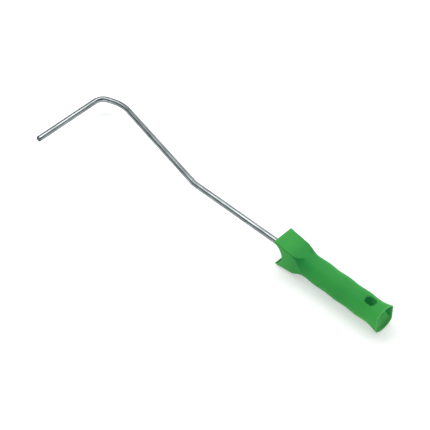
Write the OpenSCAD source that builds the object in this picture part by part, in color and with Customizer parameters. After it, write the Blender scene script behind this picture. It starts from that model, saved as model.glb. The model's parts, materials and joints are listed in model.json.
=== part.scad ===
// Mini paint-roller frame: one bent steel rod held in one moulded plastic handle.
// X runs from the roller arm to the butt of the handle, Y along the roller arm, and Z is up.
// The origin is where the rod's line through the handle crosses the roller arm's centreline.

/* [Rod] */
// Diameter of the steel rod
rod_d = 6; // [5:0.5:7]
// Distance from the handle's line to the tip of the roller arm
arm_reach = 66.5; // [50:0.5:120]
// Chamfer on the tip of the roller arm
tip_chamfer = 0.7; // [0.2:0.1:1.2]
// How much the rod's diameter necks down through a bend
bend_necking = 0.1; // [0.06:0.01:0.2]

/* [Bends] */
// Distance from the roller arm's line to the corner of the crank bend
crank_x = 163; // [120:1:200]
// Angle of the long leg to the handle's line
crank_angle = 12.2; // [8:0.1:16]
// Centreline radius of the crank bend
crank_r = 20; // [12:1:40]
// Distance from the roller arm's line to the corner of the crown bend
crown_x = 25.5; // [23:0.5:40]
// Centreline radius of the crown bend
crown_r = 42; // [20:1:45]
// Angle at which the rod falls from the crown towards the roller arm
fall_angle = 19; // [12:1:28]
// Centreline radius of the bend into the roller arm
arm_r = 12; // [8:1:14]

/* [Handle] */
// Distance from the roller arm's line to the front edges of the head
head_x = 283.4; // [240:0.1:330]
// Length of the handle, from the head's front edges to the butt
handle_l = 127.6; // [118:0.1:150]
// Angle by which the handle dips below the rod's line towards the butt
handle_dip = 1.2; // [0:0.1:2.5]

/* [Head] */
// Length of the flared head along its upper and lower faces
head_l = 24.3; // [20:0.1:28]
// Width of the head
head_w = 23.2; // [21:0.1:26]
// Height of the head at its front edges
head_front_h = 32.4; // [29:0.1:36]
// Height of the head where it meets the shoulder
head_rear_h = 24.2; // [23:0.1:26]
// Radius of the scoop across the front of the head
scoop_r = 16.4; // [14:0.1:18]
// Distance of the scoop's axis ahead of the head's front edges
scoop_ahead = 6.7; // [4:0.1:9]
// Distance of the scoop's axis below the handle's centreline
scoop_drop = 1.4; // [0:0.1:3]
// Length of the shoulder, from the square head to the round grip
shoulder_l = 11; // [8:0.1:16]

/* [Grip] */
// Mean diameter of the grip
grip_d = 24.9; // [22:0.1:30]
// Height of a finger wave above its valley
wave_h = 0.55; // [0.2:0.05:1.5]
// Distance from one crest to the next
wave_pitch = 24.5; // [18:0.1:32]
// Distance from the head's front edges to the first crest
wave_start = 51.7; // [45:0.1:58]

/* [Butt] */
// Length of the flare at the butt
flare_l = 15; // [10:0.5:24]
// Diameter of the butt's round outline
butt_d = 29.6; // [27:0.1:34]
// Distance across the two flats at the rim
flat_w = 23.1; // [21:0.1:26]
// Angle of each flat to the handle's centreline
flat_angle = 3.8; // [2:0.1:8]

/* [Hollow] */
// Thickness of the wall
wall = 1.4; // [1:0.1:2.5]
// Depth of the hollow from the rim
hollow_depth = 98; // [60:1:100]
// Draft of the hollow's wall
hollow_draft = 0.3; // [0:0.1:0.5]

/* [Hanging hole] */
// Distance of the hole's centre from the rim
hang_from_rim = 17.6; // [14:0.1:30]
// Length of the hole along the handle
hang_l = 11.8; // [8:0.1:16]
// Width of the hole across its two straight sides
hang_w = 9.4; // [6:0.1:12]

/* [Rod socket] */
// Diameter of the socket tube inside the hollow
socket_d = 11.5; // [10.5:0.1:14]
// Length of the socket tube inside the hollow
socket_l = 32; // [20:1:45]
// Distance that the rod's end stands out of the socket tube
rod_overrun = 1.5; // [0.5:0.5:5]
// Span over the two pressed wings at the rod's end
wing_span = 8.6; // [8:0.1:9.2]
// Thickness of the wings
wing_t = 2.4; // [1.5:0.1:3.5]
// Length of the wings
wing_l = 9; // [5:1:14]
// Clearance round the rod and its wings in the socket
socket_gap = 0.03; // [0.01:0.01:0.1]

/* [Hidden] */
$fn = 96;
STEEL = [0.74, 0.76, 0.78];
GREEN = [0.20, 0.60, 0.26];
// Overshoot of a cut past the face that it leaves through
OVER = 1;
// Greatest spacing of the points along the grip's outline
OUTLINE_STEP = 1.5;
// Length by which a bend runs on inside the legs that it joins
BITE = 0.4;

// Corners at which the straight legs of the rod would cross
crank_corner = [crank_x, 0];
crown_corner = [crown_x, (crank_x - crown_x) * tan(crank_angle)];
arm_corner = [0, crown_corner.y - crown_x * tan(fall_angle)];
// Headings along the rod, walked from the arm's tip to the handle
arm_heading = 90;
fall_heading = fall_angle;
long_heading = -crank_angle;
// Length that each bend takes off the legs on both sides of its corner
arm_t = arm_r * tan((arm_heading - fall_heading) / 2);
crown_t = crown_r * tan((fall_heading - long_heading) / 2);
crank_t = crank_r * tan(crank_angle / 2);

// The head, the shoulder and the butt, measured along the handle from the head's front
neck_at = head_l + shoulder_l;
flare_at = handle_l - flare_l;
hollow_end = handle_l - hollow_depth;
socket_end_x = head_x + hollow_end + socket_l;
// The round shoulder just reaches the corners of the head's rear outline
shoulder_r = norm([head_w, head_rear_h]) / 2;
// The side faces widen along the shoulder until they run out on the round grip
neck_w = 2 * grip_r(neck_at);

// Radius of the grip's outline at distance x from the head's front
function wave_r(x) = grip_d / 2 + wave_h / 2 * cos(360 * (x - wave_start) / wave_pitch);
function flare_rise(x) = (butt_d / 2 - wave_r(flare_at)) * pow((x - flare_at) / flare_l, 2);
function grip_r(x) = x < flare_at ? wave_r(x) : wave_r(flare_at) + flare_rise(x);
// Places of the outline's points between two distances
function stations(from, to) =
    let (n = ceil((to - from) / OUTLINE_STEP)) [for (i = [0:n]) from + (to - from) * i / n];
// Unit vector at a heading in the plane of the rod
function along(heading) = [cos(heading), sin(heading)];

// A solid of revolution about the handle's line
module turned(outline) {
    rotate([0, 90, 0]) rotate([0, 0, 90])
        rotate_extrude() polygon([for (p = outline) [p.y, p.x]]);
}

// A straight stretch of rod between two corners, shortened at both ends
module leg(from, to, heading, cut_from, cut_to) {
    length = norm(to - from) - cut_from - cut_to;
    start = from + cut_from * along(heading);
    translate([start.x, start.y, 0]) rotate([0, 0, heading]) rotate([0, 90, 0])
        cylinder(h = length, d = rod_d);
}

// A bend that turns the rod by turn degrees, positive to the left
module bend(corner, heading, turn, radius) {
    side = turn > 0 ? 1 : -1;
    start = corner - radius * tan(abs(turn) / 2) * along(heading);
    centre = start + radius * along(heading + 90 * side);
    bite = BITE / radius * 180 / PI;
    translate([centre.x, centre.y, 0]) rotate([0, 0, heading - 90 * side + min(turn, 0) - bite])
        rotate_extrude(angle = abs(turn) + 2 * bite) translate([radius, 0])
            circle(d = rod_d - bend_necking);
}

// The two wings pressed out of the rod near its inner end, grown by gap on every side
module wings(gap) {
    translate([socket_end_x - wing_l - gap, -wing_span / 2 - gap, -wing_t / 2 - gap])
        cube([wing_l + 2 * gap, wing_span + 2 * gap, wing_t + 2 * gap]);
}

module wire_frame() {
    arm_tip = [0, -arm_reach];
    rod_end = [socket_end_x + rod_overrun, 0];
    color(STEEL) union() {
        translate([0, tip_chamfer - arm_reach, 0]) rotate([90, 0, 0])
            cylinder(h = tip_chamfer, d1 = rod_d, d2 = rod_d - 2 * tip_chamfer);
        leg(arm_tip, arm_corner, arm_heading, tip_chamfer, arm_t);
        bend(arm_corner, arm_heading, fall_heading - arm_heading, arm_r);
        leg(arm_corner, crown_corner, fall_heading, arm_t, crown_t);
        bend(crown_corner, fall_heading, long_heading - fall_heading, crown_r);
        leg(crown_corner, crank_corner, long_heading, crown_t, crank_t);
        bend(crank_corner, long_heading, crank_angle, crank_r);
        leg(crank_corner, rod_end, 0, crank_t, 0);
        wings(0);
    }
}

// Places its children in the handle's own frame, which starts at the head's front and dips
module dipped() {
    translate([head_x, 0, 0]) rotate([0, handle_dip, 0]) children();
}

// Flared block with planar faces, seen from the side
module head_block() {
    difference() {
        translate([0, head_w / 2, 0]) rotate([90, 0, 0]) linear_extrude(height = head_w)
            polygon([[0, -head_front_h / 2], [head_l, -head_rear_h / 2],
                     [head_l, head_rear_h / 2], [0, head_front_h / 2]]);
        translate([-scoop_ahead, 0, -scoop_drop]) rotate([90, 0, 0])
            cylinder(h = head_w + 2 * OVER, r = scoop_r, center = true);
    }
}

// Cone that turns the square head into the round grip
module shoulder() {
    neck_r = grip_r(neck_at);
    intersection() {
        turned([[head_l, 0], [head_l, shoulder_r], [neck_at, neck_r], [neck_at, 0]]);
        translate([0, 0, -head_rear_h / 2]) linear_extrude(height = head_rear_h)
            polygon([[head_l, -head_w / 2], [neck_at, -neck_w / 2],
                     [neck_at, neck_w / 2], [head_l, head_w / 2]]);
    }
}

// Everything outside the two flats at the butt, which lie inset from the outer faces
module beyond_flats(inset) {
    block = [2 * flare_l + 2 * OVER, butt_d, 2 * butt_d];
    for (side = [-1, 1])
        translate([handle_l, side * (flat_w / 2 - inset), 0])
            rotate([0, 0, -side * flat_angle])
                translate([OVER - block.x, side > 0 ? 0 : -block.y, -block.z / 2])
                    cube(block);
}

// Round grip with its finger waves, flaring out at the butt
module grip() {
    difference() {
        turned(concat([[neck_at, 0]],
                      [for (x = stations(neck_at, handle_l)) [x, grip_r(x)]],
                      [[handle_l, 0]]));
        beyond_flats(0);
    }
}

// The moulded hollow, open at the butt
module hollow() {
    mouth_r = grip_r(flare_at) - wall;
    end_r = mouth_r - (flare_at - hollow_end) * tan(hollow_draft);
    difference() {
        turned(concat([[hollow_end, 0], [hollow_end, end_r]],
                      [for (x = stations(flare_at, handle_l)) [x, grip_r(x) - wall]],
                      [[handle_l + OVER, butt_d / 2 - wall], [handle_l + OVER, 0]]));
        beyond_flats(wall);
    }
}

// Hole for a hook: round ends and two straight sides, through both walls
module hanging_hole() {
    translate([handle_l - hang_from_rim, 0, 0]) intersection() {
        cylinder(h = 2 * butt_d, d = hang_l, center = true);
        cube([hang_l + 2 * OVER, hang_w, 2 * butt_d], center = true);
    }
}

module handle() {
    socket_root_x = socket_end_x - socket_l - OVER;
    color(GREEN) difference() {
        dipped() union() {
            head_block();
            shoulder();
            grip();
        }
        difference() {
            dipped() hollow();
            translate([socket_root_x, 0, 0]) rotate([0, 90, 0])
                cylinder(h = socket_l + OVER, d = socket_d);
        }
        translate([head_x - OVER, 0, 0]) rotate([0, 90, 0])
            cylinder(h = socket_end_x - head_x + 2 * OVER, d = rod_d + 2 * socket_gap);
        wings(socket_gap);
        dipped() hanging_hole();
    }
}

wire_frame();
handle();
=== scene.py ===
"""Looks of a bare mini paint-roller frame: a bent zinc-plated rod held in a moulded green handle.

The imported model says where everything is. Sizes in the classes are in millimetres, as on a
maker's drawing, and meshes are in metres. X runs from the roller arm to the butt of the handle,
Y along the roller arm, and Z is up.
"""
import json
import logging
import math
from dataclasses import dataclass
from enum import Enum
from typing import Optional, Sequence

import bmesh
import bpy
import numpy as np
from bpy.types import Material, Mesh, Node, NodeSocket, NodeTree, Object
from mathutils import Matrix, Vector
from numpy import ndarray


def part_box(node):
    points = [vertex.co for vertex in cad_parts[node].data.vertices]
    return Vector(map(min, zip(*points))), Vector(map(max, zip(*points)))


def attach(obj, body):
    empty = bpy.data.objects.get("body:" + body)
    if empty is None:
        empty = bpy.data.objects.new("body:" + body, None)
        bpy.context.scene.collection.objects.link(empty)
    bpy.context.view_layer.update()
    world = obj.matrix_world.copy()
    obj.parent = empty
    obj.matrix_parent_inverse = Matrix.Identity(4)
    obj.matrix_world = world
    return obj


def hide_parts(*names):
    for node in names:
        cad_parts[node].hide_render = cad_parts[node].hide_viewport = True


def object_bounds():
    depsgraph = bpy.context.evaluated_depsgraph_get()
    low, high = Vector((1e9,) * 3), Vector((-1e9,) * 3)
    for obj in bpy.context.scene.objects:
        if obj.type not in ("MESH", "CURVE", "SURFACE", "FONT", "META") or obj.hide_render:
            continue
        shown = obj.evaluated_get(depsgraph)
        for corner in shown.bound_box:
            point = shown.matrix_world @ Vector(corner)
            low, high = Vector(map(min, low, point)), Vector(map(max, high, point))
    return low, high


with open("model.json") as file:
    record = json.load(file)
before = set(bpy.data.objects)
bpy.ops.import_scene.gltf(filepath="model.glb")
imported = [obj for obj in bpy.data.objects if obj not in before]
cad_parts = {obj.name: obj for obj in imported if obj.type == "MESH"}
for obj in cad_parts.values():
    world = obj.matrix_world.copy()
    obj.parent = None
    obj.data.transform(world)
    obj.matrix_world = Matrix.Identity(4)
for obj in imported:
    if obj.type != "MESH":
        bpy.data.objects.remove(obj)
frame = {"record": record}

CAD_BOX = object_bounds()
MIDDLE = (CAD_BOX[0] + CAD_BOX[1]) / 2
MM = 0.001
TINY = 1e-6
BODY = "root"
log = logging.getLogger("roller_frame")


class Slot(Enum):
    """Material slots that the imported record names."""

    STEEL = "zinc_plated_steel"
    PLASTIC = "green_polypropylene"


class Mount(Enum):
    """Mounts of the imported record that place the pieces."""

    ARM = "roller_arm"
    HOLE = "hanging_hole"

    def read(self) -> dict:
        """Return this mount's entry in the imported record."""
        return next(m for m in frame["record"]["mounts"] if m["name"] == self.value)


class SocketKind(Enum):
    """Socket types that the trees' interfaces use."""

    NUMBER = "NodeSocketFloat"
    COUNT = "NodeSocketInt"
    VECTOR = "NodeSocketVector"
    SHAPE = "NodeSocketGeometry"
    MATERIAL = "NodeSocketMaterial"


# ---- node trees


class NodeDraft:
    """Short calls that add nodes to a tree and join them.

    An input's value is a number, a colour or another node's socket, which is then joined to it.
    """

    def __init__(self, tree: NodeTree) -> None:
        """Start on the tree that takes the nodes."""
        self.tree = tree

    def feed(self, node: Node, inputs: dict) -> None:
        """Give a node its inputs.

        Args:
            node: The node.
            inputs: Values by the input's name or number.
        """
        for key, value in inputs.items():
            if isinstance(value, NodeSocket):
                self.tree.links.new(value, node.inputs[key])
            else:
                node.inputs[key].default_value = value

    def add(self, kind: str, inputs: Optional[dict] = None, **settings: object) -> Node:
        """Add a node and set it up.

        Args:
            kind: Blender's name of the node type.
            inputs: Values by the input's name or number.
            **settings: Properties of the node itself, set before its inputs.

        Returns:
            The new node.
        """
        node = self.tree.nodes.new(kind)
        for name, value in settings.items():
            setattr(node, name, value)
        self.feed(node, inputs or {})
        return node

    def out(self, kind: str, inputs: Optional[dict] = None,
            **settings: object) -> NodeSocket:
        """Add a node, as add() does, and return its first output."""
        return self.add(kind, inputs, **settings).outputs[0]

    def math(self, operation: str, *values: object) -> NodeSocket:
        """Return the result of a Math node on up to three values."""
        return self.out("ShaderNodeMath", dict(enumerate(values)), operation=operation)

    def attribute(self, name: str, output: str) -> NodeSocket:
        """Return one output of a node that reads a mesh's attribute."""
        return self.add("ShaderNodeAttribute", attribute_name=name).outputs[output]

    def ramp(self, value: object, low: float, high: float, to_low: float = 0.0,
             to_high: float = 1.0) -> NodeSocket:
        """Return a clamped smooth mapping of a value from low..high to to_low..to_high."""
        return self.out("ShaderNodeMapRange", {0: value, 1: low, 2: high, 3: to_low, 4: to_high},
                        interpolation_type="SMOOTHSTEP")

    def mix_colour(self, share: object, first: object, second: object) -> NodeSocket:
        """Return the mix of two colours, with the given share of the second."""
        node = self.add("ShaderNodeMix", {0: share, 6: first, 7: second}, data_type="RGBA")
        return node.outputs[2]

    def bump(self, height: object, distance: float, strength: float) -> NodeSocket:
        """Return the normal of a surface with a height, which spans distance metres."""
        return self.out("ShaderNodeBump", {"Height": height, "Distance": distance,
                                           "Strength": strength})

    def seen(self) -> NodeSocket:
        """Tell the rays that show a surface from those that carry its light.

        Returns:
            The socket that is 1 for camera, glossy and transmission rays, and 0 for the others.
        """
        path = self.add("ShaderNodeLightPath").outputs
        first = self.math("MAXIMUM", path["Is Camera Ray"], path["Is Glossy Ray"])
        return self.math("MAXIMUM", first, path["Is Transmission Ray"])

    def sockets(self, inputs: dict, outputs: dict) -> None:
        """Give the tree its named sockets.

        Args:
            inputs: Kinds of the inputs, by name.
            outputs: Kinds of the outputs, by name.
        """
        for way, kinds in (("INPUT", inputs), ("OUTPUT", outputs)):
            for name, kind in kinds.items():
                self.tree.interface.new_socket(name, in_out=way, socket_type=kind.value)


@dataclass(frozen=True)
class FineMarks:
    """Shader group of cloudy patches and fine marks, with one finish's own values.

    Scales are in repeats per metre. Stretch is the pattern's scale along each axis.
    """

    stretch: tuple
    cloud_scale: float
    mark_scale: float
    mark_share: float

    def place(self, draft: NodeDraft, spot: NodeSocket) -> bpy.types.NodeOutputs:
        """Put the group in a material.

        Args:
            draft: The material's tree.
            spot: Coordinates, in metres.

        Returns:
            The group's outputs: Clouds, Marks and Height.
        """
        tree = bpy.data.node_groups.get("fine_marks") or self._build()
        values = {"Place": spot, "Stretch": self.stretch, "Cloud Scale": self.cloud_scale,
                  "Mark Scale": self.mark_scale, "Mark Share": self.mark_share}
        return draft.add("ShaderNodeGroup", values, node_tree=tree).outputs

    @staticmethod
    def _build() -> NodeTree:
        """Build the group, once.

        Returns:
            The group, with its named sockets.
        """
        draft = NodeDraft(bpy.data.node_groups.new("fine_marks", "ShaderNodeTree"))
        number, vector = SocketKind.NUMBER, SocketKind.VECTOR
        draft.sockets({"Place": vector, "Stretch": vector, "Cloud Scale": number,
                       "Mark Scale": number, "Mark Share": number},
                      {"Clouds": number, "Marks": number, "Height": number})
        given = draft.add("NodeGroupInput").outputs
        spot = draft.out("ShaderNodeVectorMath", {0: given["Place"], 1: given["Stretch"]},
                         operation="MULTIPLY")
        clouds = draft.out("ShaderNodeTexNoise", {"Vector": spot, "Scale": given["Cloud Scale"],
                                                  "Detail": 3.0, "Roughness": 0.55})
        marks = draft.out("ShaderNodeTexNoise", {"Vector": spot, "Scale": given["Mark Scale"],
                                                 "Detail": 2.0, "Roughness": 0.6})
        clouds, marks = draft.ramp(clouds, 0.3, 0.7), draft.ramp(marks, 0.25, 0.75)
        kept = draft.math("MULTIPLY", marks, given["Mark Share"])
        height = draft.math("ADD", kept, draft.math("MULTIPLY", clouds, 0.35))
        draft.add("NodeGroupOutput", {"Clouds": clouds, "Marks": marks, "Height": height})
        return draft.tree


# ---- finishes


@dataclass(frozen=True)
class Finish:
    """What every finish shares: a name, and a material that its own class dresses."""

    name: str

    def material(self) -> Material:
        """Build the material.

        Returns:
            The new material.
        """
        made = bpy.data.materials.new(self.name)
        made.use_nodes = True
        self.dress(NodeDraft(made.node_tree), made.node_tree.nodes["Principled BSDF"])
        return made

    def dress(self, draft: NodeDraft, shader: Node) -> None:
        """Add the finish's own nodes and values to the tree round its Principled shader."""
        raise NotImplementedError


@dataclass(frozen=True)
class ZincPlate(Finish):
    """Bright zinc plate on drawn steel wire, with faint clouds and fine marks along the rod."""

    name: str = "bright_zinc_plate"
    bright: tuple = (0.365, 0.396, 0.403, 1.0)
    dull: tuple = (0.225, 0.250, 0.256, 1.0)
    # Darker colour for the rod's tip, and for painted shade in its bends.
    darkened: tuple = (0.060, 0.067, 0.070, 1.0)
    grazing: tuple = (0.40, 0.40, 0.40, 1.0)
    smooth: float = 0.18
    rough: float = 0.26
    haze_share: float = 0.65
    streak_share: float = 0.35
    bump: float = 0.00002
    bump_strength: float = 0.6
    marks: FineMarks = FineMarks((0.16, 1.0, 1.0), 420.0, 2600.0, 0.8)
    coordinates: str = "straight_rod"
    # Attribute of how far the plate is darkened: at the tip, and as painted shade in the bends.
    darkening: str = "darkening"

    def dress(self, draft: NodeDraft, shader: Node) -> None:
        """Add the plate's clouds and streaks, its darker tip and the painted shade in its bends.

        Args:
            draft: The material's tree.
            shader: Its Principled shader.
        """
        marks = self.marks.place(draft, draft.attribute(self.coordinates, "Vector"))
        plate = draft.mix_colour(marks["Clouds"], self.dull, self.bright)
        streaks = draft.math("MULTIPLY", marks["Marks"], self.streak_share)
        haze = draft.math("SUBTRACT", 1.0, marks["Clouds"])
        dullness = draft.math("ADD", draft.math("MULTIPLY", haze, self.haze_share), streaks)
        draft.feed(shader, {
            "Base Color": draft.mix_colour(draft.attribute(self.darkening, "Fac"), plate, self.darkened),
            "Metallic": 1.0, "Specular Tint": self.grazing,
            "Roughness": draft.ramp(dullness, 0.0, 1.0, self.smooth, self.rough),
            "Normal": draft.bump(marks["Height"], self.bump, self.bump_strength)})


@dataclass(frozen=True)
class MouldedPolypropylene(Finish):
    """Satin green polypropylene: faint flow clouds and a fine moulded grain, with painted
    highlights on its edges.

    Its colour also carries painted light, which stands for light through its thin walls, and
    painted shade on the head's edges, the scooped face, the shoulder's cone and inside the hollow.
    """

    name: str = "satin_green_polypropylene"
    body: tuple = (0.020, 0.307, 0.059, 1.0)
    cloud: tuple = (0.016, 0.272, 0.053, 1.0)
    # Painted highlight colour for the lip, the rim and the hanging hole's edges.
    edge: tuple = (0.150, 0.640, 0.165, 1.0)
    # Painted light, which stands for light through the thin walls.
    lit: tuple = (0.096, 0.600, 0.100, 1.0)
    # Painted light inside the hollow, near the mouth and deep in it.
    mouth_light: tuple = (0.270, 0.970, 0.320, 1.0)
    deep: tuple = (0.130, 0.800, 0.410, 1.0)
    # Painted shade along the head's edges and on the scooped face.
    line: tuple = (0.010, 0.150, 0.028, 1.0)
    gloss: float = 0.11
    ior: float = 1.49
    smooth: float = 0.46
    rough: float = 0.56
    bump: float = 0.00003
    bump_strength: float = 0.5
    marks: FineMarks = FineMarks((0.45, 1.0, 1.0), 55.0, 2200.0, 0.5)
    edge_highlight: str = "painted_edge_highlight"
    light: str = "painted_wall_light"
    lines: str = "painted_edge_shade"

    def dress(self, draft: NodeDraft, shader: Node) -> None:
        """Add the plastic's clouds and grain, and the painted light and shade that the mesh's
        attributes carry.

        Args:
            draft: The material's tree.
            shader: Its Principled shader.
        """
        marks = self.marks.place(draft, draft.add("ShaderNodeTexCoord").outputs["Object"])
        light = draft.attribute(self.light, "Vector")
        through, inside, depth = draft.add("ShaderNodeSeparateXYZ", {0: light}).outputs
        outside = draft.mix_colour(marks["Clouds"], self.cloud, self.body)
        # Painted light through the walls.
        outside = draft.mix_colour(through, outside, self.lit)
        # Painted shade on the head's edges and on the scooped face.
        outside = draft.mix_colour(draft.attribute(self.lines, "Fac"), outside, self.line)
        # Painted light and painted shade inside the hollow.
        hollow = draft.mix_colour(depth, self.mouth_light, self.deep)
        walls = draft.mix_colour(inside, outside, hollow)
        # Painted highlight on the lip, the rim and the hanging hole's edges.
        draft.feed(shader, {
            "Base Color": draft.mix_colour(draft.attribute(self.edge_highlight, "Fac"), walls, self.edge),
            "IOR": self.ior, "Specular IOR Level": self.gloss,
            "Roughness": draft.ramp(marks["Marks"], 0.0, 1.0, self.smooth, self.rough),
            "Normal": draft.bump(marks["Height"], self.bump, self.bump_strength)})


@dataclass(frozen=True)
class PaleFloor(Finish):
    """White studio paper: it shows white, takes the object's shadow and is open from below.

    Round the object it is lit paper with a lift, and farther out it runs into plain white.
    """

    name: str = "pale_studio_floor"
    paper: tuple = (0.78, 0.78, 0.78, 1.0)
    lift: float = 0.50
    white_from: float = 0.38
    white_at: float = 0.75

    def dress(self, draft: NodeDraft, shader: Node) -> None:
        """Put the paper's own shaders in the place of the Principled one.

        Args:
            draft: The material's tree.
            shader: Its Principled shader.
        """
        draft.tree.nodes.remove(shader)
        paper = draft.out("ShaderNodeBsdfDiffuse", {"Color": self.paper})
        seen = draft.seen()
        lift = draft.math("MULTIPLY", seen, self.lift)
        glow = draft.out("ShaderNodeEmission", {"Strength": lift})
        lifted = draft.out("ShaderNodeAddShader", {0: paper, 1: glow})
        spot = draft.add("ShaderNodeTexCoord").outputs["Object"]
        reach = draft.add("ShaderNodeVectorMath", {0: spot, 1: MIDDLE},
                          operation="DISTANCE").outputs["Value"]
        far = draft.math("MULTIPLY", seen, draft.ramp(reach, self.white_from, self.white_at))
        white = draft.out("ShaderNodeEmission", {"Strength": 1.0})
        top = draft.out("ShaderNodeMixShader", {0: far, 1: lifted, 2: white})
        under = draft.add("ShaderNodeNewGeometry").outputs["Backfacing"]
        clear = draft.out("ShaderNodeBsdfTransparent")
        whole = draft.out("ShaderNodeMixShader", {0: under, 1: top, 2: clear})
        draft.feed(draft.tree.nodes["Material Output"], {"Surface": whole})


@dataclass(frozen=True)
class MattCard(Finish):
    """Matt studio card of one cool grey, for what stands round the set out of view."""

    grey: float
    cool: tuple = (0.76, 1.0, 1.0)
    rough: float = 0.9

    def dress(self, draft: NodeDraft, shader: Node) -> None:
        """Set the card's grey on its Principled shader."""
        colour = tuple(self.grey * c for c in self.cool) + (1.0,)
        draft.feed(shader, {"Base Color": colour, "Roughness": self.rough})


# ---- mesh helpers


class MeshDraft:
    """Points, faces and one value per point of a mesh that is being put together."""

    def __init__(self) -> None:
        """Start with nothing."""
        self.points: list = []
        self.values: list = []
        self.faces: list = []
        self.count = 0

    def add(self, points: ndarray, value: float = 0.0) -> ndarray:
        """Add points.

        Args:
            points: Array of points, with X, Y and Z in its last direction, in millimetres.
            value: The value that all of them take.

        Returns:
            The points' numbers, in the array's own shape.
        """
        shape = points.shape[:-1]
        size = int(np.prod(shape))
        self.points.append(points.reshape(-1, 3))
        self.values.append(np.full(size, float(value)))
        self.count += size
        return np.arange(self.count - size, self.count).reshape(shape)

    def strip(self, first: ndarray, second: ndarray, closed: bool = True,
              skip: Sequence[int] = ()) -> None:
        """Join two rows of as many points with four-sided faces.

        Args:
            first: Numbers of the first row.
            second: Numbers of the second row.
            closed: Whether the rows are rings.
            skip: Places along the rows that get no face.
        """
        for k in range(len(first) if closed else len(first) - 1):
            if k not in skip:
                n = (k + 1) % len(first)
                self.faces.append((first[k], first[n], second[n], second[k]))

    def rings(self, rows: Sequence[ndarray]) -> None:
        """Join rings to their neighbours, in order."""
        for first, second in zip(rows, rows[1:]):
            self.strip(first, second)

    def mesh(self, name: str, place: Matrix, value_name: str) -> Mesh:
        """Make the mesh, with its faces outwards.

        Args:
            name: Name of the mesh.
            place: Turns the draft's millimetres into metres in the shared frame.
            value_name: Attribute that takes the points' values.

        Returns:
            The new mesh.
        """
        made = bpy.data.meshes.new(name)
        points = np.concatenate(self.points)
        made.from_pydata(points.tolist(), [], [tuple(int(i) for i in f) for f in self.faces])
        store(made, value_name, np.concatenate(self.values))
        made.transform(place)
        shell = bmesh.new()
        shell.from_mesh(made)
        bmesh.ops.remove_doubles(shell, verts=shell.verts, dist=1e-7)
        bmesh.ops.recalc_face_normals(shell, faces=shell.faces)
        shell.to_mesh(made)
        shell.free()
        return made


def store(mesh: Mesh, name: str, values: object) -> None:
    """Keep a number or a vector for each point of a mesh.

    Args:
        mesh: The mesh.
        name: Name of the attribute.
        values: One number, or one row of three, for each point.
    """
    rows = np.asarray(values, np.float32)
    kind, key = ("FLOAT", "value") if rows.ndim == 1 else ("FLOAT_VECTOR", "vector")
    mesh.attributes.new(name, kind, "POINT").data.foreach_set(key, rows.ravel())


def link(data: bpy.types.ID, name: str) -> Object:
    """Put a mesh, a lamp or a camera in the scene.

    Args:
        data: The mesh, lamp or camera.
        name: Name of its object.

    Returns:
        The new object.
    """
    made = bpy.data.objects.new(name, data)
    bpy.context.scene.collection.objects.link(made)
    return made


def settle(piece: Object, node: str) -> None:
    """Hand a finished piece to the frame.

    Args:
        piece: The finished piece, at the origin.
        node: The CAD node that it stands for.
    """
    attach(piece, BODY)
    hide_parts(node)


def rounded(first: ndarray, corner: ndarray, last: ndarray, steps: int = 4) -> list:
    """Return the rings of a rounding from first to last, which meet at a sharp corner."""
    shares = np.linspace(0.0, 1.0, steps + 1)
    return [(1 - t) ** 2 * first + 2 * t * (1 - t) * corner + t * t * last for t in shares]


def soft_min(values: Sequence[ndarray], sharpness: float) -> ndarray:
    """Return the least of several positive distances, with the changeover rounded.

    Args:
        values: The distances, of one shape.
        sharpness: Higher for a tighter rounding.

    Returns:
        The rounded least distance.
    """
    least = np.minimum.reduce(values)
    total = sum((v / least) ** -sharpness for v in values)
    return least * total ** (-1.0 / sharpness)


def ease(x: ndarray, low: float, high: float) -> ndarray:
    """Return a smooth rise from 0 at and below low to 1 at and above high."""
    share = np.clip((x - low) / (high - low), 0.0, 1.0)
    return share * share * (3.0 - 2.0 * share)


# ---- the frame


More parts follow.
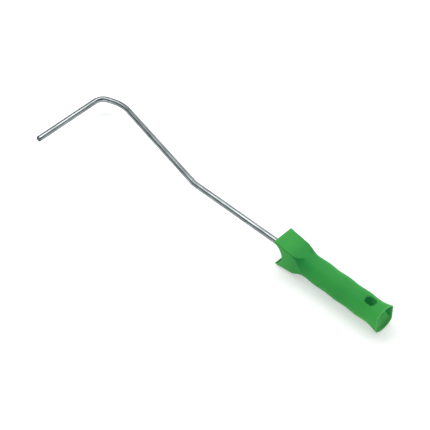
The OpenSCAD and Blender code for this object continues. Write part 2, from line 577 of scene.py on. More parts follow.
@dataclass
class BentRod:
    """The wire frame: one rod with three bends, a chamfered tip and two pressed wings."""

    node: str = "wire_frame"
    crank_x: float = 163.0
    crank_angle: float = 12.2
    crank_r: float = 20.0
    crown_x: float = 25.5
    crown_r: float = 42.0
    fall_angle: float = 19.0
    arm_r: float = 12.0
    tip_chamfer: float = 0.7
    tip_edge: float = 0.08
    # Darkening at the tip, and painted shade in the bends, as shares of the plate's darker colour.
    tip_darkening: float = 0.85
    bend_shade: float = 0.06
    bend_shade_run: float = 3.0
    bend_necking: float = 0.05
    skin_gap: float = 0.008
    neck_run: float = 1.2
    wing_span: float = 8.6
    wing_t: float = 2.4
    wing_l: float = 9.0
    wing_edge: float = 0.4
    overrun: float = 1.5
    sides: int = 56
    leg_step: float = 3.0
    arc_step: float = 2.0
    crease: float = 20.0
    finish: ZincPlate = ZincPlate()

    @property
    def radius(self) -> float:
        """Radius of the rod, from the mount that the roller sleeve runs on."""
        return float(Mount.ARM.read()["dims"]["r_mm"]) - self.skin_gap

    def corners(self) -> list:
        """Find the points at which the straight legs would cross.

        Returns:
            The rod's ends and those points, from the tip inwards.
        """
        low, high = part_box(self.node)
        crown_y = (self.crank_x - self.crown_x) * math.tan(math.radians(self.crank_angle))
        arm_y = crown_y - self.crown_x * math.tan(math.radians(self.fall_angle))
        return [Vector((0.0, low.y / MM, 0.0)), Vector((0.0, arm_y, 0.0)),
                Vector((self.crown_x, crown_y, 0.0)), Vector((self.crank_x, 0.0, 0.0)),
                Vector((high.x / MM, 0.0, 0.0))]

    def course(self) -> list:
        """Walk the rod's centreline.

        Returns:
            Tuples of a point and whether it lies in a bend, from the tip inwards.
        """
        corners = self.corners()
        radii = (self.arm_r, self.crown_r, self.crank_r)
        walked = [(corners[0], False)]
        for corner, before, after, radius in zip(corners[1:], corners, corners[2:], radii):
            come, go = (corner - before).normalized(), (after - corner).normalized()
            turn = come.angle(go)
            start = corner - come * (radius * math.tan(turn / 2))
            self._leg(walked, start)
            inward = (go - come * come.dot(go)).normalized()
            steps = max(4, math.ceil(math.degrees(turn) / self.arc_step))
            for k in range(steps + 1):
                angle = turn * k / steps
                point = start + come * radius * math.sin(angle)
                walked.append((point + inward * radius * (1 - math.cos(angle)), True))
        self._leg(walked, corners[-1])
        walked.append((corners[-1], False))
        return walked

    def _leg(self, walked: list, end: Vector) -> None:
        """Add the points inside a straight leg.

        Args:
            walked: The tuples so far, which take the new ones.
            end: The leg's far end.
        """
        start = walked[-1][0]
        length = (end - start).length
        near = [d for d in (self.tip_edge, self.tip_chamfer, self.neck_run) if d < length / 2]
        steps = max(2, round(length / self.leg_step))
        places = {length * k / steps for k in range(1, steps)}
        places.update(near + [length - self.neck_run])
        walked += [(start.lerp(end, place / length), False) for place in sorted(places)]

    def section(self, along: float, bends: Sequence[float]) -> tuple:
        """Work out the rod's section at a place.

        Args:
            along: Distance from the tip.
            bends: Distances of the points that lie in a bend.

        Returns:
            The radius as a share of the full radius, and how far the plate is darkened, from 0 to
            1: at the tip, and as painted shade in the bends.
        """
        slack = min(abs(along - b) for b in bends)
        neck = max(0.0, 1.0 - slack / self.neck_run) * self.bend_necking / self.radius
        left = max(0.0, self.tip_chamfer - along)
        edge = self.tip_edge if along < self.tip_edge / 2 else 0.0
        tip = min(1.0, max(0.0, 2.0 - along / self.tip_chamfer))
        bend = max(0.0, 1.0 - slack / self.bend_shade_run)
        darkened = min(1.0, self.tip_darkening * tip + self.bend_shade * bend)
        return 1.0 - neck - (left + edge) / self.radius, darkened

    def path(self) -> Mesh:
        """Draw the centreline as a mesh of edges.

        Returns:
            The mesh, with each point's swell, distance from the tip and darkening as attributes;
            the darkening in the bends is painted shade.
        """
        walked = self.course()
        points = [p for p, _ in walked]
        along = np.cumsum([0.0] + [(b - a).length for a, b in zip(points, points[1:])])
        bends = [s for s, (_, bent) in zip(along, walked) if bent]
        made = bpy.data.meshes.new("rod_path")
        edges = [(k, k + 1) for k in range(len(points) - 1)]
        made.from_pydata([p * MM for p in points], edges, [])
        swell, darkened = zip(*(self.section(s, bends) for s in along))
        store(made, "swell", swell)
        store(made, "along", along * MM)
        store(made, self.finish.darkening, darkened)
        return made

    def tree(self) -> NodeTree:
        """Build the tree that sweeps a round section along the path.

        Returns:
            The Geometry Nodes tree, with named inputs.
        """
        draft = NodeDraft(bpy.data.node_groups.new("swept_rod", "GeometryNodeTree"))
        draft.sockets({"Path": SocketKind.SHAPE, "Rod Radius": SocketKind.NUMBER,
                       "Section Sides": SocketKind.COUNT, "Crease Angle": SocketKind.NUMBER,
                       "Finish": SocketKind.MATERIAL}, {"Rod": SocketKind.SHAPE})
        given = draft.add("NodeGroupInput").outputs
        swell, along = (draft.out("GeometryNodeInputNamedAttribute", {"Name": name},
                                  data_type="FLOAT") for name in ("swell", "along"))
        curve = draft.out("GeometryNodeMeshToCurve", {0: given["Path"]})
        circle = draft.out("GeometryNodeCurvePrimitiveCircle", {
            "Resolution": given["Section Sides"], "Radius": given["Rod Radius"]})
        held = draft.add("GeometryNodeCaptureAttribute", domain="POINT")
        held.capture_items.new("VECTOR", "Across")
        draft.feed(held, {0: circle, "Across": draft.out("GeometryNodeInputPosition")})
        swept = draft.out("GeometryNodeCurveToMesh", {
            "Curve": curve, "Profile Curve": held.outputs[0], "Scale": swell, "Fill Caps": True})
        across = draft.add("ShaderNodeSeparateXYZ", {0: held.outputs["Across"]}).outputs
        straight = draft.out("ShaderNodeCombineXYZ", {0: along, 1: across[0], 2: across[1]})
        kept = draft.out("GeometryNodeStoreNamedAttribute", {
            "Geometry": swept, "Name": self.finish.coordinates, "Value": straight},
            data_type="FLOAT_VECTOR", domain="POINT")
        smooth = draft.out("GeometryNodeSetShadeSmooth", {
            "Geometry": kept, "Shade Smooth": True}, domain="FACE")
        crease = draft.math("GREATER_THAN", draft.out("GeometryNodeInputMeshEdgeAngle"),
                            given["Crease Angle"])
        sharp = draft.out("GeometryNodeSetShadeSmooth", {
            "Geometry": smooth, "Selection": crease, "Shade Smooth": False}, domain="EDGE")
        whole = draft.out("GeometryNodeRealizeInstances", {0: sharp})
        draft.add("NodeGroupOutput", {"Rod": draft.out("GeometryNodeSetMaterial", {
            "Geometry": whole, "Material": given["Finish"]})})
        return draft.tree

    def swept(self, material: Material) -> Mesh:
        """Run the tree on the path.

        Args:
            material: The rod's finish.

        Returns:
            The plain mesh of the rod.
        """
        carrier = link(self.path(), "rod_carrier")
        run = carrier.modifiers.new("swept_rod", "NODES")
        run.node_group = self.tree()
        values = {"Rod Radius": self.radius * MM, "Section Sides": self.sides,
                  "Crease Angle": math.radians(self.crease), "Finish": material}
        for item in run.node_group.interface.items_tree:
            if item.in_out == "INPUT" and item.name in values:
                run[item.identifier] = values[item.name]
        graph = bpy.context.evaluated_depsgraph_get()
        made = bpy.data.meshes.new_from_object(carrier.evaluated_get(graph))
        carrier.modifiers.remove(run)
        bpy.data.objects.remove(carrier)
        return made

    def wings(self) -> Mesh:
        """Make the two wings that are pressed out of the rod near its inner end.

        Returns:
            Their mesh.
        """
        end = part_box(self.node)[1].x / MM - self.overrun
        shell = bmesh.new()
        bmesh.ops.create_cube(shell, size=1.0)
        bmesh.ops.scale(shell, vec=(self.wing_l, self.wing_span, self.wing_t), verts=shell.verts)
        bmesh.ops.translate(shell, vec=(end - self.wing_l / 2, 0.0, 0.0), verts=shell.verts)
        bmesh.ops.bevel(shell, geom=shell.edges, offset=self.wing_edge, segments=3, profile=0.5,
                        affect="EDGES")
        bmesh.ops.scale(shell, vec=(MM, MM, MM), verts=shell.verts)
        made = bpy.data.meshes.new("wings")
        shell.to_mesh(made)
        shell.free()
        return made

    def build(self) -> Object:
        """Build and dress the rod.

        Returns:
            The finished piece.
        """
        material = self.finish.material()
        mesh = self.swept(material)
        joined = bmesh.new()
        for made in (mesh, self.wings()):
            joined.from_mesh(made)
        joined.to_mesh(mesh)
        joined.free()
        mesh.materials.clear()
        mesh.materials.append(material)
        piece = link(mesh, "bent_rod")
        settle(piece, self.node)
        return piece


@dataclass
class MouldedHandle:
    """The handle: a square flared head with a scooped front, a waved grip and a flared butt.

    Fields that end in _glow, _shade, _share and _step, and the lip's, rim's, hole's, lines' and
    scoop's shares, set painted light and shade as shares of the finish's colours.
    """

    node: str = "handle"
    length: float = 127.6
    head_l: float = 24.3
    head_w: float = 23.2
    head_front_h: float = 32.4
    head_rear_h: float = 24.2
    scoop_r: float = 16.4
    scoop_ahead: float = 6.7
    scoop_drop: float = 1.4
    shoulder_l: float = 11.0
    cone_l: float = 9.2
    top_blend: float = 2.5
    saddle_shift: float = 1.5
    saddle_dip: float = 0.3
    neck_blend: float = 0.5
    blend_offset: float = 0.7
    cone_overlap: float = 6.0
    face_curl: float = 0.5
    grip_d: float = 24.9
    wave_h: float = 0.55
    wave_pitch: float = 24.5
    wave_start: float = 51.7
    flare_l: float = 15.0
    butt_d: float = 29.6
    flat_w: float = 23.1
    flat_angle: float = 3.8
    wall: float = 1.4
    hollow_depth: float = 98.0
    hollow_draft: float = 0.3
    hang_from_rim: float = 17.6
    hang_l: float = 11.8
    hang_w: float = 9.4
    socket_d: float = 11.5
    socket_gap: float = 0.03
    socket_l: float = 32.0
    rod_overrun: float = 1.5
    # Painted light through thin walls, painted shade and painted highlights, as shares of the
    # finish's colours.
    plain_glow: float = 0.17
    front_glow: float = 0.35
    grip_glow: float = 0.13
    neck_step: float = 0.45
    flare_glow: float = 0.09
    flank_glow: float = 0.24
    rim_shade: float = 0.70
    flat_share: float = 0.26
    line_w: float = 0.32
    line_shade: float = 0.62
    scoop_shade: float = 0.35
    lip_highlight: float = 0.3
    lip_fade: float = 9.0
    rim_highlight: float = 0.75
    rim_fade: float = 0.55
    hole_highlight: float = 0.12
    # Stretches over which the painted light and shade change, as distances from the neck and then
    # from the rim.
    corner_run: tuple = (-4.0, 0.0)
    step_run: tuple = (-2.0, -0.5)
    cone_shade_run: tuple = (-1.0, 16.0)
    grip_run: tuple = (-2.0, 25.0)
    front_run: tuple = (-24.3, -4.5)
    flare_run: tuple = (-29.0, -4.0)
    flank_run: tuple = (-51.6, -15.0)
    rim_run: tuple = (-6.5, -0.5)
    deep_run: tuple = (-32.6, -3.0)
    # Roundings, and how the mesh's points are spread.
    edge_r: float = 0.3
    lip_r: float = 0.25
    hole_r: float = 0.35
    crease: float = 38.0
    corner: float = 60.0
    least_angle: float = 22.0
    band: float = 2.0
    wide_band: float = 7.0
    sectors: tuple = (10, 6, 8, 6, 10)
    patch: int = 18
    patch_margin: float = 1.8
    plain_from: float = 14.0
    shoulder_end: float = 39.0
    rim_margin: float = 0.35
    spacing: tuple = (1.2, 0.45, 1.25, 0.85, 0.5)
    lip_shares: tuple = (0.05, 0.14, 0.28, 0.44, 0.62, 0.8)
    hole_shares: tuple = (0.3, 0.55, 0.75, 0.9)
    front_passes: int = 40
    tube_sides: int = 64
    bottom: tuple = ((1.2, 0.0), (0.4, 0.2), (0.0, 1.0), (0.0, 5.0))
    finish: MouldedPolypropylene = MouldedPolypropylene()

    @property
    def quarter(self) -> int:
        """Number of strips round a quarter of the section."""
        return sum(self.sectors)

    @property
    def neck_at(self) -> float:
        """Distance of the neck, where the grip starts, from the head's front."""
        return self.head_l + self.shoulder_l

    @property
    def flare_at(self) -> float:
        """Distance of the flare's start from the head's front."""
        return self.length - self.flare_l

    @property
    def flare_r(self) -> float:
        """Radius of the grip where the flare starts."""
        return float(self.wave(np.array(self.flare_at)))

    @property
    def neck_r(self) -> float:
        """Radius of the grip at the neck."""
        return float(self.grip(np.array(self.neck_at)))

    @property
    def hang_at(self) -> float:
        """Distance of the hanging hole's centre from the head's front."""
        return self.length - self.hang_from_rim

    @property
    def hollow_end(self) -> float:
        """Distance of the hollow's closed end from the head's front."""
        return self.length - self.hollow_depth

    def place(self) -> Matrix:
        """Place the handle by its hanging hole.

        Returns:
            The matrix from the handle's own millimetres to the shared frame.
        """
        mount = Mount.HOLE.read()
        up = Vector(mount["axis"]).normalized()
        ahead = Vector((up.z, 0.0, -up.x))
        start = Vector(mount["pos_m"]) - ahead * self.hang_at * MM
        turned = Matrix((ahead, (0.0, 1.0, 0.0), up)).transposed().to_4x4()
        return Matrix.Translation(start) @ turned @ Matrix.Scale(MM, 4)

    # Outlines. They take x, the distance from the head's front, and some also take an angle round
    # the middle line, from +Y towards +Z. They return a distance from the middle line.

    def wave(self, x: ndarray) -> ndarray:
        """Return the radius of the waved grip."""
        turn = 2 * np.pi * (x - self.wave_start) / self.wave_pitch
        return self.grip_d / 2 + self.wave_h / 2 * np.cos(turn)

    def grip(self, x: ndarray) -> ndarray:
        """Return the radius of the grip, which flares from flare_at to the rim."""
        rise = (self.butt_d / 2 - self.flare_r) * ((x - self.flare_at) / self.flare_l) ** 2
        return np.where(x < self.flare_at, self.wave(x), self.flare_r + rise)

    def round_part(self, x: ndarray) -> ndarray:
        """Outline the round parts: the shoulder's cone, run into the grip.

        Args:
            x: Distance from the head's front.

        Returns:
            Their radius.
        """
        corner = math.hypot(self.head_w, self.head_rear_h) / 2
        cone = corner - (corner - self.neck_r) * (x - self.head_l) / self.cone_l
        rest = self.grip(np.maximum(x, self.neck_at - self.cone_overlap))
        gap = (cone - rest) / self.neck_blend
        return rest + self.neck_blend * np.logaddexp(0.0, gap - self.blend_offset)

    def flat(self, x: ndarray) -> ndarray:
        """Return the distance of the butt's flats from the middle."""
        return self.flat_w / 2 + (self.length - x) * math.tan(math.radians(self.flat_angle))

    def side(self, x: ndarray) -> ndarray:
        """Outline the side faces: the head's, then the butt's flats.

        Args:
            x: Distance from the head's front.

        Returns:
            Their distance from the middle.
        """
        past = np.maximum(x - self.head_l, 0.0)
        slope = (self.neck_r - self.head_w / 2) / self.shoulder_l
        head = self.head_w / 2 + slope * past + self.face_curl * (past / self.shoulder_l) ** 4
        return np.minimum(head, self.flat(x))

    def top(self, x: ndarray) -> ndarray:
        """Outline the head's upper and lower faces, run into the round neck.

        Args:
            x: Distance from the head's front.

        Returns:
            Their height.
        """
        slope = (self.head_front_h - self.head_rear_h) / 2 / self.head_l
        left = self.head_l + self.saddle_shift - x
        fall = slope * (np.hypot(left, self.top_blend) + left) / 2
        rise = self.face_curl * (np.maximum(x - self.head_l, 0.0) / self.shoulder_l) ** 4
        return self.head_rear_h / 2 - self.saddle_dip + fall + rise

    def surfaces(self, x: ndarray, angle: ndarray) -> list:
        """Return the distances of the round part, the side faces, and the upper and lower ones."""
        across, up = np.abs(np.cos(angle)) + TINY, np.abs(np.sin(angle)) + TINY
        return [self.round_part(x) + 0 * angle, self.side(x) / across, self.top(x) / up]

    def outer(self, x: ndarray, angle: ndarray) -> ndarray:
        """Return the distance of the skin, where the nearest surface counts."""
        return soft_min(self.surfaces(x, angle), self.corner)

    def inner(self, x: ndarray, angle: ndarray) -> ndarray:
        """Measure the hollow's wall.

        Args:
            x: Distance from the head's front.
            angle: Angle round the middle line, from +Y towards +Z.

        Returns:
            Its distance from the middle line.
        """
        taper = (self.flare_at - x) * math.tan(math.radians(self.hollow_draft))
        deep = self.flare_r - self.wall - taper
        round_wall = np.where(x < self.flare_at, deep, self.grip(x) - self.wall)
        flat_wall = (self.flat(x) - self.wall) / (np.abs(np.cos(angle)) + TINY)
        return soft_min([round_wall + 0 * angle, flat_wall], 1.5 * self.corner)

    def angles(self, x: ndarray, half: ndarray, tall: ndarray, reach: ndarray) -> ndarray:
        """Spread the section's points so that rows of them follow its edges.

        Args:
            x: Distances, one for each point of the ring.
            half: Distance of the side faces there.
            tall: Height of the upper and lower faces there.
            reach: Radius of the round part there.

        Returns:
            The angle of each point, from +Y towards +Z.
        """
        tight, least = math.radians(self.band), math.radians(self.least_angle)
        corner = np.arctan2(tall, half)
        low = np.arccos(np.clip(half / reach, -1.0, 1.0))
        high = np.arcsin(np.clip(tall / reach, -1.0, 1.0))
        edged = np.clip((np.maximum(low, np.pi / 2 - high) - least) / least, 0.0, 1.0)
        band = edged * tight + (1.0 - edged) * math.radians(self.wide_band)
        low = np.clip(low, least, corner - 1.5 * band)
        high = np.clip(high, corner + 1.5 * band, np.pi / 2 - least)
        knots = np.stack([0 * low, low - band, low + band, high - band, high + band,
                          0 * low + np.pi / 2])
        starts = np.cumsum((0,) + self.sectors)
        total = 4 * self.quarter
        spot = np.arange(total)
        quarter, step = spot // self.quarter, spot % self.quarter
        step = np.where(quarter % 2 == 1, self.quarter - step, step)
        sector = np.clip(np.searchsorted(starts, step, side="right") - 1, 0, len(starts) - 2)
        share = (step - starts[sector]) / (starts[sector + 1] - starts[sector])
        angle = knots[sector, spot] * (1 - share) + knots[sector + 1, spot] * share
        base = ((quarter + 1) // 2) * np.pi
        return np.where(quarter % 2 == 1, base - angle, base + angle)

    def ring(self, x: object, inside: bool = False, inset: float = 0.0) -> ndarray:
        """Return a ring of points on the skin or on the hollow's wall.

        Args:
            x: Distance from the head's front, one number or one for each point.
            inside: Whether the ring lies on the hollow's wall.
            inset: Distance by which the ring lies inside the surface, within its section.

        Returns:
            The ring's points.
        """
        x = np.broadcast_to(np.asarray(x, float), (4 * self.quarter,))
        if inside:
            half = self.flat(x) - self.wall
            angle = self.angles(x, half, 0 * x + self.butt_d, self.inner(x, 0 * x + np.pi / 2))
            radius = self.inner(x, angle)
        else:
            angle = self.angles(x, self.side(x), self.top(x), self.round_part(x))
            radius = self.outer(x, angle)
        flat = np.stack([radius * np.cos(angle), radius * np.sin(angle)], -1)
        run = np.roll(flat, -1, 0) - np.roll(flat, 1, 0)
        out = np.stack([run[:, 1], -run[:, 0]], -1)
        out /= np.linalg.norm(out, axis=1, keepdims=True)
        flat = flat - inset * out
        return np.concatenate([x[:, None], flat], 1)

    def scoop(self, height: ndarray) -> ndarray:
        """Return how far the head's front face lies back at a height."""
        arc = self.scoop_r ** 2 - (height + self.scoop_drop) ** 2
        return np.maximum(np.sqrt(np.maximum(arc, 0.0)) - self.scoop_ahead, 0.0)

    def front(self) -> tuple:
        """Find where the skin meets the scooped face.

        Returns:
            The sharp front edge of the skin, and the ring just inside it on the face.
        """
        x = np.zeros(4 * self.quarter)
        for _ in range(self.front_passes):
            edge = self.ring(x)
            x = 0.5 * x + 0.5 * self.scoop(edge[:, 2])
        edge = self.ring(x)
        face = self.ring(x, inset=self.lip_r)
        face[:, 0] = self.scoop(face[:, 2])
        return edge, face

    def stations(self) -> ndarray:
        """Space the plain rings behind the scoop.

        Returns:
            Their distances from the head's front.
        """
        hole = self.hang_l / 2 + self.patch_margin
        ends = (self.plain_from, self.head_l - 1.0, self.shoulder_end, self.hang_at - hole,
                self.hang_at + hole, self.length - self.edge_r - self.rim_margin)
        places = [ends[0]]
        for start, end, step in zip(ends, ends[1:], self.spacing):
            count = math.ceil((end - start) / step)
            places += [start + (end - start) * k / count for k in range(1, count + 1)]
        return np.array(places)

    def shell(self, draft: MeshDraft) -> None:
        """Add the handle's closed shell: skin, rim, hollow, scooped face and hanging hole.

        Args:
            draft: The draft that takes it.
        """
        edge, face = self.front()
        behind = self.ring(edge[:, 0] + self.lip_r)
        # The lip's rings carry the painted edge highlight, which fades behind the lip.
        first = [draft.add(r, self.lip_highlight) for r in reversed(rounded(behind, edge, face))]
        stations = self.stations()
        for share in self.lip_shares:
            x = behind[:, 0] * (1 - share) + stations[0] * share
            highlight = self.lip_highlight * math.exp(-self.lip_fade * share)
            first.append(draft.add(self.ring(x), highlight))
        skin = [draft.add(self.ring(x), self._rim_highlight(x)) for x in stations]
        end, r = self.length, self.edge_r
        rim = rounded(self.ring(end - r), self.ring(end), self.ring(end, inset=r))
        rim += rounded(self.ring(end, True, -r), self.ring(end, True), self.ring(end - r, True))
        # The rim carries the painted edge highlight.
        rim = [draft.add(p, self.rim_highlight) for p in rim]
        deep = [x for x in reversed(stations) if x > self.hollow_end + 2.0]
        wall = [draft.add(self.ring(x, True), self._rim_highlight(x)) for x in deep]
        bottom = [draft.add(self.ring(self.hollow_end + d, True, s)) for d, s in self.bottom]
        draft.rings(first + skin[:1])
        draft.rings([skin[-1]] + rim + [wall[0]])
        draft.rings([wall[-1]] + bottom)
        draft.faces.append(tuple(bottom[-1]))
        self._face(draft, first[0], face)
        half, reach = 2 * self.quarter, self.hang_l / 2 + self.patch_margin + TINY
        patches = {k for k in range(2 * half) if abs((k + 0.5) % half - self.quarter) < self.patch}
        round_hole = []
        for places, rows in ((stations, skin), (np.array(deep[::-1]), wall[::-1])):
            near = np.flatnonzero(np.abs(places - self.hang_at) <= reach)
            for k, (first, second) in enumerate(zip(rows, rows[1:])):
                draft.strip(first, second, skip=patches if near[0] <= k < near[-1] else ())
            round_hole.append(np.array(rows)[near])
        for middle, sign in ((self.quarter, 1.0), (3 * self.quarter, -1.0)):
            columns = slice(middle - self.patch, middle + self.patch + 1)
            self._hole(draft, [rows[:, columns] for rows in round_hole], sign)

    def _rim_highlight(self, x: float) -> float:
        """Return the painted highlight on the wall near the rim."""
        return self.rim_highlight * math.exp(-(self.length - x) / self.rim_fade)

    def _face(self, draft: MeshDraft, ring: ndarray, points: ndarray) -> None:
        """Fill the scooped front face with a lattice whose rows run across the head.

        Args:
            draft: The draft that holds the ring.
            ring: Numbers of the face's outermost points.
            points: The points themselves.
        """
        low = sum(self.sectors[:2]) + self.sectors[2] // 2
        down, over = 2 * low, 2 * (self.quarter - low)
        upper = low + np.arange(over + 1)
        rows = [ring[upper]]
        for i in range(1, down):
            share = i / down
            y = points[upper, 1] * (1 - share) + points[-upper, 1] * share
            z = np.full(over + 1, points[low - i, 2])
            inner = draft.add(np.stack([self.scoop(z), y, z], -1)[1:-1])
            ends = ring[[low - i, low + over + i]]
            rows.append(np.concatenate([ends[:1], inner, ends[1:]]))
        rows.append(ring[-upper])
        for first, second in zip(rows, rows[1:]):
            draft.strip(first, second, closed=False)

    def _outline(self, way: ndarray, grow: float) -> ndarray:
        """Draw the hanging hole's outline in plan.

        Args:
            way: Directions from its centre.
            grow: Distance by which it is grown.

        Returns:
            One point for each direction.
        """
        round_end = np.full_like(way, self.hang_l / 2 + grow)
        straight = (self.hang_w / 2 + grow) / (np.abs(np.sin(way)) + TINY)
        reach = soft_min([round_end, straight], 50.0)
        return np.stack([self.hang_at + reach * np.cos(way), reach * np.sin(way)], -1)

    def _lift(self, plan: ndarray, inside: bool, sign: float) -> ndarray:
        """Lift points in plan to a wall.

        Args:
            plan: The points.
            inside: Whether they go on the hollow's wall, not on the skin.
            sign: 1 for the upper wall, -1 for the lower one.

        Returns:
            The points on the wall.
        """
        x, y = plan[:, 0], plan[:, 1]
        upright = np.full_like(x, np.pi / 2)
        radius = self.inner(x, upright) if inside else self.outer(x, upright)
        return np.stack([x, y, sign * np.sqrt(radius ** 2 - y ** 2)], -1)

    def _hole(self, draft: MeshDraft, patches: Sequence[ndarray], sign: float) -> None:
        """Add the hanging hole through one wall, with rounded edges.

        Args:
            draft: The draft that holds both surfaces of the wall.
            patches: Lattices of the points round the hole, on the skin and in the hollow.
            sign: 1 for the upper wall, -1 for the lower one.
        """
        points = np.concatenate(draft.points)
        loops = [np.concatenate([p[0], p[1:, -1], p[-1, -2::-1], p[-2:0:-1, 0]]) for p in patches]
        border = points[loops[0]]
        way = np.arctan2(border[:, 1], border[:, 0] - self.hang_at)
        edges = []
        for inside, loop, radius in zip((False, True), loops, (self.hole_r, self.hole_r / 2)):
            start, end = points[loop][:, :2], self._outline(way, radius)
            rings = [loop]
            for share in self.hole_shares:
                plan = start * (1 - share) + end * share
                rings.append(draft.add(self._lift(plan, inside, sign)))
            sharp = self._lift(self._outline(way, 0.0), inside, sign)
            through = sharp + np.array([0.0, 0.0, (sign if inside else -sign) * radius])
            # The hole's rounded edge carries the painted edge highlight.
            rings += [draft.add(p, self.hole_highlight)
                      for p in rounded(self._lift(end, inside, sign), sharp, through)]
            draft.rings(rings)
            edges.append(rings[-1])
        draft.strip(*edges)

    def tube(self, draft: MeshDraft, place: Matrix) -> None:
        """Add the socket tube that holds the rod inside the hollow, in the rod's own line.

        Args:
            draft: The draft of the handle, in the handle's own millimetres.
            place: The handle's matrix, which the tube's straight line is taken back through.
        """
        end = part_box("wire_frame")[1].x / MM - self.rod_overrun
        root = end - self.socket_l - 1.0
        outer, inner = self.socket_d / 2, Mount.ARM.read()["dims"]["r_mm"] + self.socket_gap
        outline = ((root, inner), (root, outer), (end - 1.0, outer), (end - 0.4, outer - 0.03),
                   (end - 0.1, outer - 0.15), (end, outer - 0.4), (end, inner + 0.35),
                   (end - 0.1, inner + 0.1), (end - 0.35, inner))
        turn = np.linspace(0.0, 2 * np.pi, self.tube_sides, endpoint=False)
        back = place.inverted()
        rows = []
        for x, radius in outline:
            ring = [back @ Vector((x * MM, radius * MM * math.cos(t), radius * MM * math.sin(t)))
                    for t in turn]
            rows.append(draft.add(np.array(ring)))
        draft.rings(rows + rows[:1])

    def _let_light_through(self, mesh: Mesh, place: Matrix) -> None:
        """Store painted light, which stands for light through the plastic, and painted shade on
        the edges, the scooped face, the shoulder's cone and inside the hollow.

        Args:
            mesh: The handle's mesh, in the shared frame.
            place: The handle's matrix.
        """
        back = place.inverted()
        own = np.array([back @ v.co for v in mesh.vertices])
        x, reach = own[:, 0], np.hypot(own[:, 1], own[:, 2])
        angle = np.arctan2(own[:, 2], own[:, 1])
        cone, side, top = surfaces = self.surfaces(x, angle)
        skin, past, rim = self.outer(x, angle), x - self.neck_at, x - self.length
        # Painted shade on the shoulder's cone, which gets no painted light. At the neck only its
        # corners keep the shade, and then it fades.
        narrow = 4 * ease(past, *self.corner_run)
        cone_shade = (cone < np.minimum(side, top)) * np.abs(np.sin(2 * angle)) ** narrow
        cone_shade = cone_shade * (1.0 - self.neck_step * ease(past, *self.step_run))
        cone_shade = cone_shade * (1.0 - ease(past, *self.cone_shade_run))
        # Outside, painted light stands for light through the head's front, the grip, the flare and
        # the butt's flanks.
        inside = np.clip((skin - reach) / self.wall, 0.0, 1.0) * (x > self.hollow_end + 1.5)
        flare = self.flare_glow * ease(rim, *self.flare_run)
        flank = self.flank_glow * np.cos(angle) ** 2 * ease(rim, *self.flank_run)
        through = (self.plain_glow + self.front_glow * (1.0 - ease(past, *self.front_run))
                   + self.grip_glow * ease(past, *self.grip_run)
                   + (flare + flank) * (1.0 - inside))
        scooped = (reach < skin - 0.4) & (x < self.hollow_end - 2.0)
        # The shoulder's cone and the scooped face get painted shade: they take no painted light.
        through = through * (1.0 - cone_shade) * (1.0 - scooped)
        # Inside, painted shade: the flats take the deep colour at a small share, and the round
        # walls are painted darker just behind the rim.
        gap = self.flat(x) - self.wall - np.abs(own[:, 1])
        on_flat = 1.0 - np.clip(gap / 0.12, 0.0, 1.0)
        shade = 1.0 - self.rim_shade * ease(rim, *self.rim_run)
        inside = inside * (self.flat_share * on_flat + (1.0 - on_flat) * shade)
        depth = np.maximum(on_flat, 1.0 - ease(rim, *self.deep_run))
        store(mesh, self.finish.light, np.stack([through, inside, depth], -1))
        # Painted shade: dark lines run where the head's second-nearest surface meets the nearest
        # one, and the scooped face is darkened.
        away = (np.sort(np.stack(surfaces), 0)[1] - skin) / (2.0 * self.line_w)
        edged = np.exp(-away ** 2) * (1.0 - ease(x, self.head_l - 1.0, self.head_l + 2.0))
        edged = self.line_shade * edged * (reach > skin - 0.3) + self.scoop_shade * scooped
        store(mesh, self.finish.lines, edged)

    def build(self) -> Object:
        """Build and dress the handle.

        Returns:
            The finished piece.
        """
        place = self.place()
        draft = MeshDraft()
        self.shell(draft)
        self.tube(draft, place)
        mesh = draft.mesh("moulded_handle", place, self.finish.edge_highlight)
        self._let_light_through(mesh, place)
        mesh.shade_smooth()
        mesh.set_sharp_from_angle(angle=math.radians(self.crease))
        mesh.materials.append(self.finish.material())
        piece = link(mesh, "moulded_handle")
        settle(piece, self.node)
        return piece


# ---- the studio


class Side(Enum):
    """Places round the set, as level directions from the object's middle."""

    BEHIND = (-0.704, 0.710, 0.0)
    BEFORE = (0.704, -0.710, 0.0)
    SIDE = (0.08, -1.00, 0.0)
    LEFT_BEHIND = (-0.97, 0.26, 0.0)
    LEFT = (-0.72, -0.69, 0.0)
    RIGHT = (0.87, 0.50, 0.0)
    BUTT = (1.00, -0.05, 0.0)


def rectangle(name: str, wide: float, tall: float, place: Matrix, finish: Finish) -> Object:
    """Hang a dressed rectangle that isn't part of the object.

    Args:
        name: Its name.
        wide: Its size along its own X.
        tall: Its size along its own Y.
        place: Its matrix, with its face towards its own -Z.
        finish: Its finish.

    Returns:
        The new object.
    """
    mesh = bpy.data.meshes.new(name)
    corners = ((-1, -1), (1, -1), (1, 1), (-1, 1))
    mesh.from_pydata([(x * wide / 2, y * tall / 2, 0.0) for x, y in corners], [], [(3, 2, 1, 0)])
    mesh.transform(place)
    mesh.materials.append(finish.material())
    made = link(mesh, name)
    return made


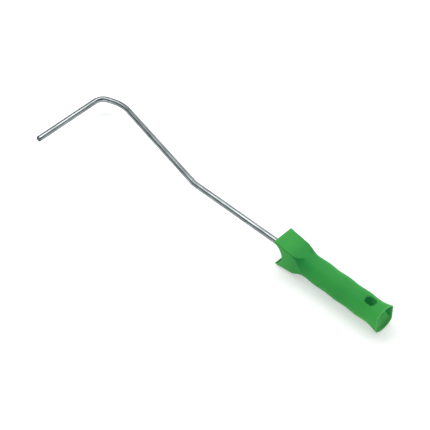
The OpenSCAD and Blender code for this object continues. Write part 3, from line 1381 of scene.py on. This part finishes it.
@dataclass(frozen=True)
class Panel:
    """A rectangle that hangs in the studio, turned to the object's middle. Sizes are in metres.

    Its shade is a card's grey, or how bright a softbox's face is, where white paper is 1.
    """

    name: str
    side: Side
    away: float
    height: float
    wide: float
    tall: float
    shade: float
    shift: float = 0.0

    def pose(self) -> Matrix:
        """Place the panel, with its face towards its own -Z.

        Returns:
            The panel's matrix.
        """
        way = Vector(self.side.value).normalized()
        across = Vector((-way.y, way.x, 0.0))
        place = MIDDLE + way * self.away + across * self.shift
        place.z = MIDDLE.z + self.height
        back = (place - MIDDLE).normalized()
        up = back.cross(across).normalized()
        turned = Matrix((up.cross(back), up, back)).transposed().to_4x4()
        return Matrix.Translation(place) @ turned

    def hang_softbox(self) -> None:
        """Hang the panel as a softbox."""
        data = bpy.data.lights.new(self.name, "AREA")
        data.shape, data.size, data.size_y = "RECTANGLE", self.wide, self.tall
        data.energy = self.shade * math.pi * self.wide * self.tall
        link(data, self.name).matrix_world = self.pose()

    def hang_card(self) -> None:
        """Hang the panel as a matt card, out of the camera's sight."""
        finish = MattCard(self.name + "_grey", self.shade)
        rectangle(self.name, self.wide, self.tall, self.pose(), finish).visible_camera = False


@dataclass(frozen=True)
class Studio:
    """Floor, softboxes, cards, world and camera round the object, in metres and degrees."""

    floor_size: float = 8.0
    world_light: float = 1.0
    # Each panel's name, side, away, height, wide, tall, shade and shift.
    softboxes: tuple = (Panel("key_softbox", Side.BEHIND, 0.42, 1.20, 1.36, 0.50, 2.95, 0.05),
                        Panel("fill_softbox", Side.SIDE, 1.00, 0.14, 1.10, 0.28, 3.2))
    cards: tuple = (Panel("card_left", Side.LEFT, 0.85, 0.28, 1.20, 0.60, 0.44),
                    Panel("card_left_behind", Side.LEFT_BEHIND, 0.85, 0.30, 0.90, 0.62, 0.34),
                    Panel("card_right", Side.RIGHT, 0.85, 0.36, 0.90, 0.44, 0.45),
                    Panel("card_before", Side.BEFORE, 0.74, 0.72, 2.00, 1.25, 0.02, -0.25),
                    Panel("card_low", Side.BEFORE, 0.95, 0.08, 0.36, 0.20, 0.02),
                    Panel("card_butt", Side.BUTT, 0.60, 0.68, 0.90, 0.80, 0.03))
    azimuth: float = 46.523
    elevation: float = 47.300
    roll: float = -2.351
    distance: float = 1.36608
    aim_offset: tuple = (0.00434, 0.00143, 0.00064)
    lens: float = 116.79
    floor: PaleFloor = PaleFloor()

    def build(self) -> None:
        """Set up everything that stands round the object."""
        self._world()
        level = Matrix.Translation((MIDDLE.x, MIDDLE.y, CAD_BOX[0].z))
        face_up = level @ Matrix.Rotation(math.pi, 4, "X")
        rectangle("floor", self.floor_size, self.floor_size, face_up, self.floor)
        for panel in self.softboxes:
            panel.hang_softbox()
        for panel in self.cards:
            panel.hang_card()
        self._camera()

    def _world(self) -> None:
        """Make a world that shows white and lights softly."""
        world = bpy.data.worlds.new("studio")
        bpy.context.scene.world = world
        world.use_nodes = True
        draft = NodeDraft(world.node_tree)
        draft.tree.nodes.clear()
        white = (1.0, 1.0, 1.0, 1.0)
        lights = draft.out("ShaderNodeBackground", {"Color": white, "Strength": self.world_light})
        shows = draft.out("ShaderNodeBackground", {"Color": white, "Strength": 1.0})
        mixed = draft.out("ShaderNodeMixShader", {0: draft.seen(), 1: lights, 2: shows})
        draft.add("ShaderNodeOutputWorld", {"Surface": mixed})

    def _camera(self) -> None:
        """Set up the camera at its viewing angle."""
        data = bpy.data.cameras.new("camera")
        data.lens, data.sensor_width = self.lens, 36.0
        data.clip_start, data.clip_end = 0.05, 50.0
        camera = link(data, "camera")
        bpy.context.scene.camera = camera
        turn, rise = math.radians(self.azimuth), math.radians(self.elevation)
        back = Vector((math.sin(turn) * math.cos(rise), -math.cos(turn) * math.cos(rise),
                       math.sin(rise)))
        aim = MIDDLE + Vector(self.aim_offset)
        level = (-back).to_track_quat("-Z", "Y").to_matrix().to_4x4()
        lean = Matrix.Rotation(math.radians(self.roll), 4, "Z")
        camera.matrix_world = Matrix.Translation(aim + back * self.distance) @ level @ lean


def main() -> None:
    """Build the pieces and the studio, in order, and report them."""
    logging.basicConfig(level=logging.INFO, format="%(name)s: %(message)s")
    bpy.context.scene.view_settings.view_transform = "Standard"
    for part in (BentRod(), MouldedHandle()):
        piece = part.build()
        log.info("%s stands for %s, with %d faces", piece.name, part.node,
                 len(piece.data.polygons))
    Studio().build()
    log.info("studio set up")


if __name__ == "__main__":
    main()
